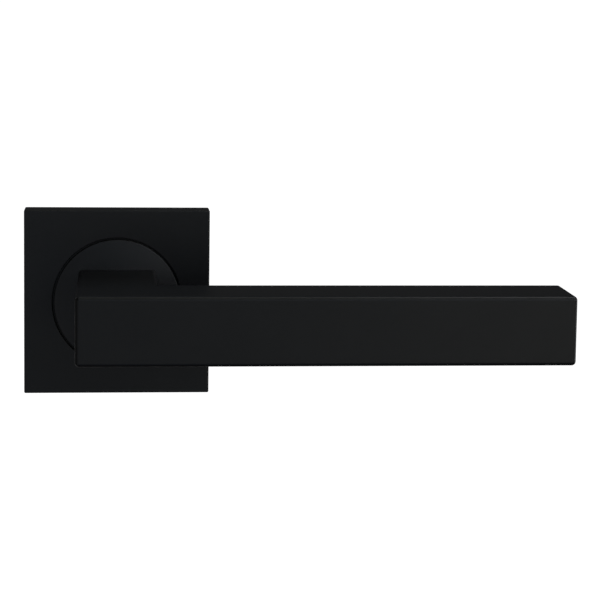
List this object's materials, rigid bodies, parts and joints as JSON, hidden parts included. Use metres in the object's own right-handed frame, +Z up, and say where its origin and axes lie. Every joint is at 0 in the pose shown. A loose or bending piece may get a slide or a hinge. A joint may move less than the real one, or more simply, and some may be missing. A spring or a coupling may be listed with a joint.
{
  "type": "door lever handle",
  "caption": "Matte black door lever handle: a rectangular tube grip with a mitred neck on a crowned turning disc, sprung back to level on a square rose.",
  "frame": {"origin": "on the spindle's axis, in the plane of the door's face where the rose sits", "axes": "+X along the grip towards its tip, +Y into the door along the spindle, +Z up"},
  "size_m": [0.1461, 0.1134, 0.052],
  "materials": {
    "black_coat": "fine-grained matte black powder coat",
    "zinc_plate": "bright zinc-plated pressed steel",
    "bright_steel": "drawn or turned bright steel",
    "spring_steel": "oiled dark spring steel",
    "nylon": "natural moulded nylon"
  },
  "bodies": {
    "rose": {"rose_cover": "black_coat", "mounting_plate": "zinc_plate", "bearing_bush": "nylon", "return_spring": "spring_steel", "stop_pin_rest": "bright_steel", "stop_pin_end": "bright_steel", "cover_clip_left": "spring_steel", "cover_clip_right": "spring_steel", "support_sleeve_upper": "bright_steel", "support_sleeve_lower": "bright_steel", "fixing_bolt_upper": "zinc_plate", "fixing_bolt_lower": "zinc_plate"},
    "lever": {"grip_tube": "black_coat", "neck_tube": "black_coat", "grip_cap": "black_coat", "flange_disc": "black_coat", "hub": "bright_steel", "driver_plate": "zinc_plate", "spindle": "bright_steel", "grub_screw": "spring_steel", "thrust_washer": "bright_steel", "wave_washer": "spring_steel", "circlip": "spring_steel"}
  },
  "joints": [
    {"name": "lever_turn", "type": "hinge", "parent": "rose", "child": "lever", "pos_m": [0, 0, 0], "axis": [0, 1, 0], "range_deg": [0, 45], "stiffness_Nm_per_rad": 0.8, "springref_deg": -28.65, "deforming": ["return_spring"]}
  ]
}
